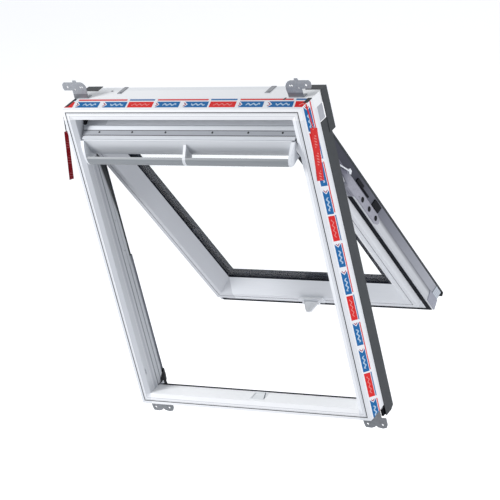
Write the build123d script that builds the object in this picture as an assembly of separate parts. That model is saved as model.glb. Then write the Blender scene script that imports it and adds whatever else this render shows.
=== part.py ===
from build123d import *
import os
from math import cos, radians, sin

os.makedirs("parts", exist_ok=True)

# A timber roof window, hung near its top, with the sash standing open.
# Millimetres: +X to the right seen from the room, +Y out through the roof, +Z up the window.
# The frame stands at X = 0 with its room face at Y = 0 and its lower edge at Z = 0.

# Frame timber
frame_width = 780.0
frame_height = 980.0
member = 34.0
face_flat = 20.0
face_bevel = 5.0
lining_groove = 3.0
lining_groove_depth = 5.0
lining_groove_inset = 10.0
jamb_depth = 84.0
jamb_lip = 11.0
jamb_lip_depth = 88.0
head_depth = 129.0
sill_depth = 57.0
sill_step = 21.0
reveal_recess = 1.2

# Where the closed sash lies in the frame
sash_gap = 3.0
sash_face = 62.0
sash_bottom = 25.0
sash_top_drop = 50.0
flange_step = 26.0
flange_reach = 22.0
sash_depth = 61.0
foot_drop = 57.0

# Sash timber round the glass
sash_flat = 27.0
sash_flat_low = 29.0
sash_flat_high = 22.0
stile_width = 67.0
rail_low = 75.0
rail_high = 62.0
splay_depth = 33.0
glass_rebate = 16.0
pane = 4.0
spacer_depth = 14.0
seal_bed = 2.0

# Hinge and how far the sash stands open
hinge_y = 108.0
hinge_drop = 160.0
open_angle = 30.0
pin_radius = 4.0
pin_fit = 0.06

# Sheet metal
cover_sheet = 1.5
cover_depth = 137.0
cover_top_drop = 80.0
cover_foot = -36.0
hood_length = 126.0
hood_depth = 156.0
hood_return = 48.0
bracket_sheet = 2.5
plate_sheet = 3.0

# Lower fixing holes. The exported parts have their origin midway between these two holes.
fixing_half = 390.0
fixing_y = 57.0
fixing_z = -49.8

half = frame_width / 2
sash_top = frame_height - sash_top_drop
hinge_z = frame_height - hinge_drop
cover_top = frame_height - cover_top_drop
hood_low = frame_height - hood_length
opening = half - member
opening_top = frame_height - member
sash_half = opening - sash_gap
flange_half = sash_half + flange_reach
flange_face = sash_face + flange_step
sash_back = sash_face + sash_depth
glass_half = sash_half - stile_width
glass_low = sash_bottom + rail_low
glass_high = sash_top - rail_high
rebate_half = glass_half + glass_rebate
rebate_low = glass_low - glass_rebate
rebate_high = glass_high + glass_rebate


def block(x0, x1, y0, y1, z0, z1):
    middle = Pos((x0 + x1) / 2, (y0 + y1) / 2, (z0 + z1) / 2)
    return middle * Box(x1 - x0, y1 - y0, z1 - z0)


def along_x(section, x0, x1):
    """A Y, Z section drawn out from x0 to x1."""
    face = make_face(Plane.YZ * Polyline(*section, close=True))
    return Pos(x0, 0, 0) * extrude(face, x1 - x0, dir=(1, 0, 0))


def along_y(section, y0, y1):
    """An X, Z section drawn out from y0 to y1."""
    face = make_face(Plane.XZ * Polyline(*section, close=True))
    return Pos(0, y0, 0) * extrude(face, y1 - y0, dir=(0, 1, 0))


def along_z(section, z0, z1):
    """An X, Y section drawn out from z0 to z1."""
    face = make_face(Polyline(*section, close=True))
    return Pos(0, 0, z0) * extrude(face, z1 - z0, dir=(0, 0, 1))


def rod_x(radius, x0, x1, y, z):
    return Pos((x0 + x1) / 2, y, z) * Rot(0, 90, 0) * Cylinder(radius, x1 - x0)


def rod_y(radius, y0, y1, x, z):
    return Pos(x, (y0 + y1) / 2, z) * Rot(90, 0, 0) * Cylinder(radius, y1 - y0)


def rod_z(radius, z0, z1, x, y):
    return Pos(x, y, (z0 + z1) / 2) * Cylinder(radius, z1 - z0)


def ring(x_out, z0_out, z1_out, x_in, z0_in, z1_in, y0, y1):
    """A rectangular ring between two rectangles, y0 to y1 deep."""
    outside = block(-x_out, x_out, y0, y1, z0_out, z1_out)
    return outside - block(-x_in, x_in, y0, y1, z0_in, z1_in)


def funnel(x_a, z0_a, z1_a, y_a, x_b, z0_b, z1_b, y_b):
    """A four-sided opening that narrows from one rectangle to another."""
    faces = []
    for x, z0, z1, y in ((x_a, z0_a, z1_a, y_a), (x_b, z0_b, z1_b, y_b)):
        plane = Plane(origin=(0, y, (z0 + z1) / 2), x_dir=(1, 0, 0), z_dir=(0, 1, 0))
        faces.append(plane * Rectangle(2 * x, z1 - z0))
    return loft(faces)


def other_side(shape):
    return shape.mirror(Plane.YZ)


def opened(shape):
    """From where a piece lies in the closed window to where it stands with the sash open."""
    return shape.rotate(Axis((0, hinge_y, hinge_z), (1, 0, 0)), open_angle)


def save(name, shape):
    export_step(Pos(0, -fixing_y, -fixing_z) * shape, "parts/" + name + ".step")


def save_pair(name, right):
    save(name + "_right", right)
    save(name + "_left", other_side(right))


# Frame timber. One bevel and one groove for the room's lining run round all four members.
bevel = funnel(
    half - face_flat, face_flat, frame_height - face_flat, 0,
    opening, member, opening_top, face_bevel,
)
groove_out = lining_groove_inset - lining_groove / 2
groove_in = lining_groove_inset + lining_groove / 2
groove = ring(
    half - groove_out, groove_out, frame_height - groove_out,
    half - groove_in, groove_in, frame_height - groove_in,
    0, lining_groove_depth,
)

head = block(-half, half, 0, head_depth, opening_top, frame_height) - bevel - groove
save("head", head)

sill = block(-opening, opening, 0, sill_depth, 0, member) - bevel - groove
sill += block(-opening, opening, sill_depth, jamb_depth, 0, sill_step)
keeper_half = 24.0
keeper_middle = 10.0
keeper_front = 14.0
keeper_sink = 2.0
sill -= block(
    keeper_middle - keeper_half, keeper_middle + keeper_half,
    keeper_front, sill_depth, member - keeper_sink, member,
)
save("sill", sill)

# The keeper that the handle's latch drops into, a shallow tray let into the sill
keeper = block(
    keeper_middle - keeper_half, keeper_middle + keeper_half,
    keeper_front, sill_depth, member - keeper_sink, member + 0.6,
)
keeper -= block(
    keeper_middle - keeper_half + 4, keeper_middle + keeper_half - 9,
    keeper_front + 6, sill_depth - 10, member - 1, member + 0.6,
)
save("keeper", keeper)

# Jambs: a wide reveal with a shallow recess, a raised strip low down, and a lip on the roof side
recess_near = 31.0
recess_far = 54.0
strip_near = 72.0
strip_top = 440.0
strip_height = 1.2
lip_start = half - jamb_lip
jamb = block(opening, half, 0, jamb_depth, 0, opening_top)
jamb += block(lip_start, half, jamb_depth, jamb_lip_depth, 0, opening_top)
jamb = jamb - bevel - groove
jamb -= block(opening, opening + reveal_recess, recess_near, recess_far, member, opening_top)
jamb += block(opening - strip_height, opening, strip_near, jamb_depth, member, strip_top)
for hole_y, hole_z in ((62.0, 592.0), (68.0, 490.0)):
    jamb -= rod_x(2.2, opening - 1, opening + 6, hole_y, hole_z)
jamb -= block(opening, opening + 4, 3.5 + face_bevel, 8 + face_bevel, 98, 116)
save_pair("jamb", jamb)

# Grey blocks that fill the corner between jamb, head and cover
hinge_block = block(lip_start - 3, half, jamb_lip_depth, 118, cover_top + 2, opening_top)
hinge_block += block(lip_start - 3, lip_start - 0.3, jamb_depth, jamb_lip_depth, cover_top + 2, opening_top)
save_pair("hinge_block", hinge_block)

# Frame covers of folded aluminium: a channel down each jamb
cover_out = half + cover_sheet + 0.2
cover_wall = cover_out - cover_sheet
cover_edge = cover_depth - cover_sheet
side_cover = block(cover_wall, cover_out, jamb_lip_depth, cover_depth, cover_foot, cover_top)
side_cover += block(lip_start, cover_out, jamb_lip_depth, jamb_lip_depth + cover_sheet, 0, cover_top)
side_cover += block(cover_out - 5.5, cover_out, cover_edge, cover_depth, cover_foot, strip_top)
side_cover -= along_x(
    [(cover_depth - 16, cover_foot), (cover_depth, cover_foot), (cover_depth, cover_foot + 8)],
    cover_out - 8, cover_out + 1,
)
save_pair("side_cover", side_cover)

# Black plugs that close the lower ends of the channels: a moulded tongue, cut back where the
# flared cover of the sash passes it, and the block behind it
plug_tongue = along_x(
    [
        (80, cover_foot + 2), (80, -0.6), (jamb_lip_depth + 1.8, -0.6), (jamb_lip_depth + 1.8, 16),
        (103, 20), (109, 36), (128, 39), (134, 44), (139, 41), (140.5, 20), (138, 4), (130, 1),
        (135, -16), (135, cover_foot + 7), (122, cover_foot + 2),
    ],
    lip_start + 0.6, cover_out - 5.8,
)
plug_block = block(
    cover_out - 5.8, cover_wall - 0.3, jamb_lip_depth + 1.8, 119, cover_foot + 2, 30,
)
flare_way = [
    (flange_half + 2.1, sash_back - 3.5), (flange_half + 11.7, sash_back + 25),
    (flange_half + 2.1, sash_back + 25),
]
plug_tongue -= along_z(flare_way, cover_foot, 50)
save_pair("cover_plug", plug_tongue + plug_block)

# Hoods over the two upper corners: side, top and roof face of one folded sheet
hood_in = cover_out
hood_out = hood_in + cover_sheet
hood = block(hood_in, hood_out, 122, hood_depth, hood_low, frame_height)
hood_top = frame_height + cover_sheet
hood += block(half - hood_return, hood_out, head_depth - 2, hood_depth, frame_height, hood_top)
hood += block(hood_out - 22, hood_out, hood_depth - cover_sheet, hood_depth, hood_low, frame_height)
save_pair("hood", hood)

# Bare aluminium rail along the roof side of the head, between the hoods
rail_half = half - hood_return - 1.5
rail_out = 150.0
head_rail = block(-rail_half, rail_half, head_depth, rail_out, frame_height - cover_sheet, frame_height)
for low, y in ((75.0, rail_out), (25.0, head_depth + cover_sheet)):
    head_rail += block(-rail_half, rail_half, y - cover_sheet, y, frame_height - low, frame_height)
save("head_rail", head_rail)

# Two clips that tie the rail down to the head, each with its screw
clips = None
for clip_x, clip_wide in ((83.0 - rail_half, 13.0), (rail_half - 108.5, 15.0)):
    x0 = clip_x - clip_wide / 2
    x1 = clip_x + clip_wide / 2
    clip_top = frame_height + 1.4
    clip = block(x0, x1, 106, rail_out + 1.5, frame_height, clip_top)
    clip += block(x0, x1, rail_out, rail_out + 1.5, frame_height - 14, clip_top)
    clip += rod_z(3.5, clip_top, frame_height + 3, clip_x, 114)
    clips = clip if clips is None else clips + clip
clips += rod_z(3.0, frame_height, frame_height + 1.5, 49.5 - rail_half, 124)
save("head_clips", clips)

# Weather seals on the frame
frame_seal = block(
    opening + 0.3, opening + 6, jamb_depth, jamb_depth + 2, hinge_z - 320, opening_top - 2,
)
save_pair("frame_seal", frame_seal)
sill_seal = along_x(
    [
        (sill_depth, member), (sill_depth, member + 3), (sill_depth + 3, member + 3),
        (sill_depth + 4.4, member), (sill_depth + 3.5, 26), (sill_depth + 0.0, 26),
    ],
    -opening + 1, opening - 1,
)
save("sill_seal", sill_seal)

# Collar film, one band wrapped round the outer faces of the frame
film = 0.6
film_near = 8.0
film_far = 74.0
collar = block(-half - film, half + film, film_near, film_far, -film, frame_height + film)
save("collar", collar - block(-half, half, film_near, film_far, 0, frame_height))

# Red pull tabs of the collar, each on a thin cord from the upper corner. The left one hangs
# clear of the frame and is turned a little on itself.
tab = 1.2
tab_x = half + film
tab_z = frame_height - 76.0
tab_right = along_x(
    [(27, tab_z + 8), (62, tab_z - 8), (38, tab_z - 154), (4, tab_z - 140)], tab_x, tab_x + tab,
)
tab_right += along_x(
    [(40, tab_z), (46, tab_z), (36, frame_height - 1), (30, frame_height - 1)], tab_x, tab_x + tab,
)
save("pull_tab_right", tab_right)

tab_ends = []
for off, z, turn, wide in ((12.5, tab_z + 3, 30.0, 11.5), (40.0, tab_z - 151, 45.0, 13.5)):
    across = (cos(radians(turn)), sin(radians(turn)), 0)
    plane = Plane(origin=(-half - off, 10, z), x_dir=across, z_dir=(0, 0, 1))
    tab_ends.append(plane * Rectangle(wide, tab))
cord_low = Vector(-half - 12.5, 10, tab_z - 2)
cord_high = Vector(-tab_x - 1.8, 8, frame_height - 2)
cord_way = cord_high - cord_low
cord = Solid.make_cylinder(1.5, cord_way.length, Plane(origin=cord_low, z_dir=cord_way))
save("pull_tab_left", loft(tab_ends, ruled=True) + cord)


# Zinc-plated fixing brackets, pressed from one pattern: a neck that stands up from the foot on
# the frame, and a wider plate for the screws.
bracket_y = 75.0
bracket_foot = 22.0
neck = 46.0


def upper_bracket(start, way):
    """The bracket begins at X = start and reaches out towards way."""
    outline = [
        (0, 0), (neck, 0), (neck, 26), (73, 26), (77, 33), (77, 44), (71, 50.5), (39, 50.5),
        (38, 56.5), (28, 56.5), (27, 50.5), (14, 50.5), (6, 47.5), (0, 41), (-3, 34), (-3, 22),
        (-0.5, 10),
    ]
    points = [(start + way * u, frame_height + w) for u, w in outline]
    plate = along_y(points, bracket_y, bracket_y + bracket_sheet)
    for u, w, radius in ((10.5, 35.0, 3.0), (17.0, 35.0, 3.0), (37.0, 28.0, 2.5), (61.0, 36.0, 3.5)):
        plate -= rod_y(radius, bracket_y - 1, bracket_y + 4, start + way * u, frame_height + w)
    near, far = sorted((start, start + way * neck))
    return plate + block(
        near, far, bracket_y, bracket_y + bracket_foot, frame_height, frame_height + bracket_sheet,
    )


def lower_bracket(start):
    outline = [
        (17, 0), (17 + neck, 0), (17 + neck, 26), (78, 26), (78, 48.6), (73, 58.6), (60, 61.7),
        (46, 58.6), (40, 53.6), (34, 58.6), (24, 61.7), (5, 60.7), (2, 50.6), (0, 26), (17, 26),
    ]
    points = [(start + u, -film - w) for u, w in outline]
    plate = along_y(points, fixing_y, fixing_y + bracket_sheet)
    for u in (14.0, 62.0):
        plate -= rod_y(3.5, fixing_y - 1, fixing_y + 4, start + u, fixing_z)
    return plate + block(
        start + 17, start + 17 + neck, fixing_y, fixing_y + bracket_foot,
        -film - bracket_sheet, -film,
    )


save("bracket_top_left", upper_bracket(44.5 - half, -1))
save("bracket_top_right", upper_bracket(half - 72.5, 1))
save("bracket_bottom_left", lower_bracket(-fixing_half - 14))
save("bracket_bottom_right", lower_bracket(fixing_half - 62))

screws = None
for foot_x in (44.5 - half - neck, half - 72.5):
    for u in (11.0, 35.0):
        foot_top = frame_height + bracket_sheet
        dome = rod_z(4.0, foot_top, foot_top + 2, foot_x + u, bracket_y + 17)
        screws = dome if screws is None else screws + dome
for foot_x in (3 - fixing_half, fixing_half - 45):
    for u in (11.0, 35.0):
        foot_under = -film - bracket_sheet
        screws += rod_z(4.0, foot_under - 2, foot_under, foot_x + u, fixing_y + 14)
save("bracket_screws", screws)

# Hinge bearings on the roof face of the jambs, each with its riveted pin
ear_in = flange_half - 4.0
ear_out = flange_half - 0.3
bearing = block(opening + 7.5, lip_start - 0.5, jamb_depth, jamb_depth + 2.5, hinge_z - 30, hinge_z + 32)
bearing += block(ear_in, ear_out, jamb_depth + 2.5, hinge_y, hinge_z - 12, hinge_z + 12)
bearing += rod_x(12.0, ear_in, ear_out, hinge_y, hinge_z)
bearing += rod_x(pin_radius, ear_in - 1.5, flange_half + plate_sheet + 0.4, hinge_y, hinge_z)
bearing += rod_x(6.5, flange_half + plate_sheet + 0.4, flange_half + plate_sheet + 2.0, hinge_y, hinge_z)
save_pair("hinge_bearing", bearing)

# Sash timber. The splay and the glass rebate are cut through stiles and rails alike.
splay = funnel(
    sash_half - sash_flat, sash_bottom + sash_flat_low, sash_top - sash_flat_high, sash_face,
    glass_half, glass_low, glass_high, sash_face + splay_depth,
)
rebate_y = sash_face + splay_depth
rebate = block(-rebate_half, rebate_half, rebate_y, sash_back, rebate_low, rebate_high)
throat = block(-glass_half, glass_half, rebate_y - 0.01, sash_back, glass_low, glass_high)
quirk = ring(
    sash_half - 12, sash_bottom + 12, sash_top - 12,
    sash_half - 14, sash_bottom + 14, sash_top - 14,
    sash_face, sash_face + 1.2,
)

stile = block(glass_half, sash_half, sash_face, sash_back, sash_bottom, sash_top)
stile = stile - splay - rebate - quirk
stile += block(sash_half, flange_half, flange_face, sash_back, sash_bottom, hinge_z - 15)
save("sash_stile_right", opened(stile))
save("sash_stile_left", opened(other_side(stile)))

rail_bottom = block(-glass_half, glass_half, sash_face, sash_back, sash_bottom, glass_low)
save("sash_rail_bottom", opened(rail_bottom - splay - rebate - quirk))
rail_top = block(-glass_half, glass_half, sash_face, sash_back, glass_high, sash_top)
save("sash_rail_top", opened(rail_top - splay - rebate - quirk))

# The foot that laps over the frame below the sill, and the caps on its ends
foot_low = sash_bottom - foot_drop
foot = block(-flange_half, flange_half, flange_face, sash_back, foot_low, sash_bottom)
save("sash_foot", opened(foot))
foot_cap = block(flange_half, flange_half + 2, flange_face, sash_back - 0.5, foot_low, sash_bottom)
foot_cap += along_z(
    [
        (flange_half + 0.5, sash_back - 0.5), (flange_half + 2.5, sash_back - 0.5),
        (flange_half + 10.3, sash_back + 22.5), (flange_half + 8.3, sash_back + 22.5),
    ],
    cover_foot + 10, cover_foot + 46,
)
save("foot_caps", opened(foot_cap + other_side(foot_cap)))

# Sealed double glazing: two panes on a dark warm-edge spacer
seal_y = rebate_y + seal_bed
inner_y = seal_y + pane
outer_y = inner_y + spacer_depth
pane_half = rebate_half - 2.0
pane_low = rebate_low + 2.0
pane_high = rebate_high - 2.0
sight = 17.0
glazing_seal = ring(
    rebate_half - 0.5, rebate_low + 0.5, rebate_high - 0.5,
    glass_half - 1.5, glass_low - 1.5 + 3, glass_high - 1.5,
    rebate_y, seal_y,
)
save("glazing_seal", opened(glazing_seal))
save("glass_inner", opened(block(-pane_half, pane_half, seal_y, inner_y, pane_low, pane_high)))
spacer = ring(
    pane_half, pane_low, pane_high,
    glass_half - sight, glass_low + sight + 5, glass_high - sight,
    inner_y, outer_y,
)
save("glass_spacer", opened(spacer))
save("glass_outer", opened(block(-pane_half, pane_half, outer_y, outer_y + pane, pane_low, pane_high)))

# Sash covers of folded sheet: the side ones flare out over the frame's channels
glass_top = outer_y + pane
skin = 1.2
cover_in = glass_half - 8.0
edge_out = half - 4.0
cover_low = sash_bottom - 52
cover_high = hood_low - 6


def hollow(section):
    """The same section, one sheet further in all round."""
    return offset(section, -skin)


def folded_z(points, z0, z1):
    face = make_face(Polyline(*points, close=True))
    return Pos(0, 0, z0) * extrude(face - hollow(face), z1 - z0, dir=(0, 0, 1))


def folded_x(points, x0, x1):
    face = make_face(Plane.YZ * Polyline(*points, close=True))
    return Pos(x0, 0, 0) * extrude(face - hollow(face), x1 - x0, dir=(1, 0, 0))


flare_in = flange_half + 0.2
flare_out = edge_out - 2.5
flare = 24.5
side_section = [
    (cover_in, sash_back), (flare_in, sash_back), (flare_out, sash_back + flare),
    (edge_out, sash_back + 26), (edge_out, sash_back + 30.5), (flange_half - 30, sash_back + 25),
    (cover_in, sash_back + 3.5),
]
side = folded_z(side_section, cover_low, cover_high)
side += block(cover_in, rebate_half - 0.3, glass_top + 0.3, sash_back, rebate_low + 0.3, rebate_high - 0.3)
save("sash_cover_right", opened(side))
save("sash_cover_left", opened(other_side(side)))

lower_section = [
    (sash_back, glass_low - 8), (sash_back, foot_low), (sash_back + 10, foot_low),
    (sash_back + 27, cover_low), (sash_back + 25, sash_bottom + 15), (sash_back + 3.5, glass_low - 8),
]
lower = folded_x(lower_section, -cover_in + 0.3, cover_in - 0.3)
lower += block(
    -cover_in + 0.3, cover_in - 0.3, glass_top + 0.3, sash_back, rebate_low + 0.3, glass_low - 8,
)
save("sash_cover_bottom", opened(lower))

upper = block(-sash_half, sash_half, sash_back, sash_back + skin, cover_high + 0.3, sash_top)
upper -= block(
    -cover_in + 0.3, cover_in - 0.3, sash_back, sash_back + skin, cover_high, glass_high - 6,
)
upper += block(
    -cover_in + 0.3, cover_in - 0.3, glass_top + 0.3, sash_back, glass_high - 6, rebate_high - 0.3,
)
save("sash_cover_top", opened(upper))

# Black plugs that close the lower ends of the side covers
tip = along_z(side_section, cover_low - 3, cover_low)
tip += block(edge_out - 17, edge_out, sash_back + 17, sash_back + 30, cover_low - 12, cover_low - 3)
save("cover_tips", opened(tip + other_side(tip)))

# One seal runs down both flanges and along the foot
seal_in = sash_half + 1
sash_seal = block(seal_in, seal_in + 14.5, flange_face - 1.2, flange_face, foot_low, hinge_z - 224)
foot_seal = block(-seal_in, seal_in, flange_face - 1.2, flange_face, foot_low, foot_low + 8)
save("sash_seal", opened(sash_seal + other_side(sash_seal) + foot_seal))

# Ventilation strip screwed along the top of the sash
strip_half = sash_half - 3.0
vent_section = [
    (sash_face + 0.5, sash_top), (sash_face + 0.5, sash_top + 2.6), (sash_face + 16, sash_top + 5.8),
    (sash_face + 26, sash_top + 11.5), (sash_face + 30, sash_top + 11.5), (sash_face + 30, sash_top),
]
save("vent_strip", opened(along_x(vent_section, -strip_half, strip_half)))
vent_screws = None
for place in (-0.84, -0.52, -0.20, 0.24, 0.57, 0.88):
    screw_x = place * strip_half
    cap = rod_z(3.2, sash_top + 3.0, sash_top + 5.6, screw_x, sash_face + 8)
    cap -= along_x(vent_section, screw_x - 6, screw_x + 6)
    vent_screws = cap if vent_screws is None else vent_screws + cap

# Hinge arms: one steel plate from the pin down the outer side of each stile, with a pointed leg
# folded onto the face of the flange
arm_outline = [
    (hinge_y - 10, hinge_z - 2), (hinge_y - 10, hinge_z - 130), (flange_face + 1.5, hinge_z - 165),
    (flange_face + 1.5, hinge_z - 368), (flange_face + 9, hinge_z - 386),
    (flange_face + 16, hinge_z - 391), (flange_face + 24, hinge_z - 386),
    (sash_back - 2, hinge_z - 368), (sash_back - 1, hinge_z - 180), (sash_back - 3, hinge_z - 130),
    (hinge_y + 10, hinge_z - 2),
]
arm_in = flange_half
arm_out = flange_half + plate_sheet
arm = along_x(arm_outline, arm_in, arm_out) + rod_x(10.0, arm_in, arm_out, hinge_y, hinge_z)
arm -= rod_x(pin_radius + pin_fit, arm_in - 1, arm_out + 1, hinge_y, hinge_z)
arm -= rod_x(2.2, arm_in - 1, arm_out + 1, hinge_y - 7.5, hinge_z - 245)
leg = along_y(
    [
        (arm_in - 18, hinge_z - 222), (arm_in - 13, hinge_z - 190), (arm_in - 5, hinge_z - 157),
        (arm_out, hinge_z - 146), (arm_out, hinge_z - 222),
    ],
    flange_face - 1.6, flange_face,
)
leg += block(arm_in, arm_out, flange_face - 1.6, flange_face + 2, hinge_z - 222, hinge_z - 170)
leg -= block(arm_in - 7, arm_in - 4.5, flange_face - 2, flange_face + 1, hinge_z - 212, hinge_z - 192)
arm += leg
save("hinge_arm_right", opened(arm))
save("hinge_arm_left", opened(other_side(arm)))

arm_screws = None
for screw_drop in (267.0, 316.0, 365.0):
    cap = rod_x(5.5, arm_out, arm_out + 1.4, hinge_y - 3, hinge_z - screw_drop)
    arm_screws = cap if arm_screws is None else arm_screws + cap
save("sash_screws", opened(vent_screws + arm_screws + other_side(arm_screws)))


# Black buffers that lie on the flare of the cover beside each arm
def buffer(near, far, low, high):
    """A pad on the flare, from near to far out from its root and low to high along it."""
    lean = (flare_out - flare_in) / flare
    inner = [(flare_in + 0.3 + lean * reach, sash_back + reach) for reach in (near, far)]
    outer = [(x + 4.0, y) for x, y in reversed(inner)]
    return along_z(inner + outer, hinge_z - low, hinge_z - high)


buffers = buffer(3.5, 13.5, 245.0, 203.0) + buffer(3.5, 7.0, 290.0, 245.0)
buffers += buffer(0.5, 19.0, 367.0, 322.0)
save("arm_buffers", opened(buffers + other_side(buffers)))

# Bright stay rod on each arm, from a lug at its lower end to a stud near the pin
stay_x = arm_out + 4.0
stud_y = hinge_y - 7
stud_z = hinge_z - 76
lug_y = hinge_y + 14
lug_z = hinge_z - 144
stay_way = Vector(0, stud_y - lug_y, stud_z - lug_z)
stay = Solid.make_cylinder(2.4, stay_way.length, Plane(origin=(stay_x, lug_y, lug_z), z_dir=stay_way))
stay += rod_x(4.5, arm_out, arm_out + 7.0, stud_y, stud_z)
stay += along_x(
    [
        (lug_y - 7, lug_z - 6), (lug_y - 3, lug_z + 2), (lug_y + 3, lug_z + 5), (lug_y + 8, lug_z - 1),
        (lug_y + 7, lug_z - 12), (lug_y - 3, lug_z - 15),
    ],
    arm_out, arm_out + 6.5,
)
save("stay_rod_right", opened(stay))
save("stay_rod_left", opened(other_side(stay)))

# Opening handle in the middle of the bottom rail
base_half = 42.0
base_low = 38.5
base_high = 62.0
base_out = 10.0
handle_z = 46.0
handle_y = sash_face - base_out - 4.5
base = block(-base_half, base_half, sash_face - base_out, sash_face, base_low, sash_bottom + sash_flat_low)
base += block(-base_half, base_half, sash_face - base_out, sash_face - 4, base_low, base_high)
base -= block(-base_half, -base_half + 14, sash_face - base_out, sash_face - 5, base_low, base_low + 10)
for cheek_x in (-26.0, 26.0):
    cheek = block(cheek_x - 3, cheek_x + 3, handle_y, sash_face - base_out, handle_z - 5, handle_z + 5)
    base += cheek + rod_x(5.0, cheek_x - 3, cheek_x + 3, handle_y, handle_z)
base += rod_x(2.0, -26, 26, handle_y, handle_z)
save("handle_base", opened(base))

lever = along_z(
    [
        (-22, handle_y), (22, handle_y), (21, handle_y - 8), (9.5, handle_y - 30),
        (6, handle_y - 33), (-6, handle_y - 33), (-9.5, handle_y - 30), (-21, handle_y - 8),
    ],
    handle_z - 3, handle_z + 3,
)
lever += rod_x(4.2, -22, 22, handle_y, handle_z)
lever -= rod_x(2.0 + pin_fit, -23, 23, handle_y, handle_z)
save("handle_lever", opened(lever))

# Control bar across the top of the sash: a scooped sheet hung on a bead, a grip strip below it,
# and moulded ends that narrow towards the grip. Sections are measured from the pivot.
bar_half = sash_half - 4.0
pivot_y = sash_face - 14.0
pivot_z = sash_top - 2.0
bead = 2.2
bead_fit = 0.3
end_slope = 0.2
end_slope_out = 0.29
end_wide = 11.0
end_top = bar_half + 3.5


def from_pivot(section):
    return [(pivot_y + y, pivot_z + z) for y, z in section]


def between_ends(points):
    """A prism seen square to the bar's slope: X across, and down from the pivot to the grip."""
    plane = Plane(origin=(0, pivot_y, pivot_z), x_dir=(1, 0, 0), z_dir=(0, 0.677, -0.736))
    return extrude(plane * make_face(Polyline(*points, close=True)), 120, both=True)


reach = 90.0
inner_top = end_top - end_wide
span = between_ends([
    (-inner_top - 1, -5), (inner_top + 1, -5),
    (inner_top - end_slope * reach, reach), (end_slope * reach - inner_top, reach),
])
end_wedge = between_ends([
    (inner_top + 1, -5), (end_top + 1.45, -5),
    (end_top - end_slope_out * reach, reach), (inner_top - end_slope * reach, reach),
])
scoop = along_x(
    from_pivot([
        (-1.5, -1.0), (-5.0, -10.0), (-8.8, -20.3), (-12.0, -31.0), (-12.9, -41.0), (-11.5, -52.0),
        (-9.7, -51.7), (-11.1, -41.0), (-10.2, -31.4), (-7.1, -20.7), (-3.3, -10.6), (0.4, -1.6),
    ]),
    -bar_half, bar_half,
)
scoop += rod_x(bead, -bar_half, bar_half, pivot_y, pivot_z)
grip = along_x(
    from_pivot([
        (-39.7, -25.5), (-45.2, -28.8), (-49.2, -33.5), (-51.3, -40.0), (-51.5, -47.0),
        (-49.3, -51.0), (-45.0, -55.2), (-39.0, -58.5), (-38.2, -56.4), (-43.6, -53.5),
        (-47.2, -49.9), (-49.2, -46.5), (-49.0, -40.4), (-47.2, -34.6), (-44.0, -30.8),
        (-39.2, -27.7),
    ]),
    -bar_half, bar_half,
)
rib = along_x(
    from_pivot([
        (-6.5, -9.8), (-40.0, -25.8), (-45.2, -28.8), (-49.2, -33.5), (-51.3, -40.0), (-51.5, -47.0),
        (-49.3, -51.0), (-45.0, -55.2), (-39.0, -58.5), (-25.0, -58.0), (-12.0, -53.0),
        (-12.9, -41.0), (-12.0, -31.0), (-8.8, -20.3),
    ]),
    -8.5, 0.5,
)
end = along_x(
    from_pivot([
        (0.6, -3.0), (-3.5, 1.5), (-12.0, -2.0), (-22.0, -7.8), (-32.0, -14.5), (-39.5, -21.0),
        (-46.0, -28.5), (-50.5, -37.0), (-51.8, -46.5), (-49.5, -52.0), (-45.0, -56.0),
        (-38.0, -59.5), (-25.0, -58.8), (-16.4, -60.0), (-8.0, -62.5), (-6.5, -59.5), (-9.7, -51.7),
        (-11.1, -41.0), (-10.2, -31.4), (-7.1, -20.7), (-3.3, -10.6),
    ]),
    inner_top - end_slope * reach - 5, end_top + 2,
)
save("bar_sheet", opened(scoop & span))
save("bar_grip", opened((grip & span) + rib))
save("bar_cap_right", opened(end & end_wedge))
save("bar_cap_left", opened(other_side(end & end_wedge)))

# The ledge on the sash that the bar turns on
bead_edge = pivot_y + bead + bead_fit
ledge_section = [
    (sash_face, sash_top - 10), (sash_face, sash_top), (bead_edge, sash_top),
    (bead_edge, sash_top - 4), (sash_face - 6, sash_top - 10),
]
save("bar_ledge", opened(along_x(ledge_section, -bar_half, bar_half)))
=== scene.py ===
import math

import bmesh
import bpy
from mathutils import Matrix, Vector


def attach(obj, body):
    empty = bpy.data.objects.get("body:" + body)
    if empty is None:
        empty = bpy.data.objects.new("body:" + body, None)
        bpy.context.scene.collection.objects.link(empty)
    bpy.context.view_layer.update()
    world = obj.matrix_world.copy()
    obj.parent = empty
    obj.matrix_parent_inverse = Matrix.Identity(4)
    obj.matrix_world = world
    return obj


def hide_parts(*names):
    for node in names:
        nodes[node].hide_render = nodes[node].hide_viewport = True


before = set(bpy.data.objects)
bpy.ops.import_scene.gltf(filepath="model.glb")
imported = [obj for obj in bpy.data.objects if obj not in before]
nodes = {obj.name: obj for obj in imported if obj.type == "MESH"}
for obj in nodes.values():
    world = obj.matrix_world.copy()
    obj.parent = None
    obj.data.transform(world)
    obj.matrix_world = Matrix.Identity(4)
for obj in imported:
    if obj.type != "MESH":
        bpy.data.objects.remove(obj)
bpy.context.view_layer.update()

# The stand. The window hangs well above a pale sweep, lit softly from the left and above, and the
# camera is the photograph's. The maker's sizes are in millimetres from the frame's lower edge, and
# the part's own origin lies between its lower fixing holes.
MM = 0.001
FROM_FRAME = Vector((0.0, -0.057, 0.0498))
camera_spot = (3247.7, -4605.2, 3119.9)
lens = 156.9
floor_reach = 9.0
floor_level = -0.45
soft_strength = 0.46
floor_glow = 0.50


def at(x, y, z):
    return Vector((x, y, z)) * MM + FROM_FRAME


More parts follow.
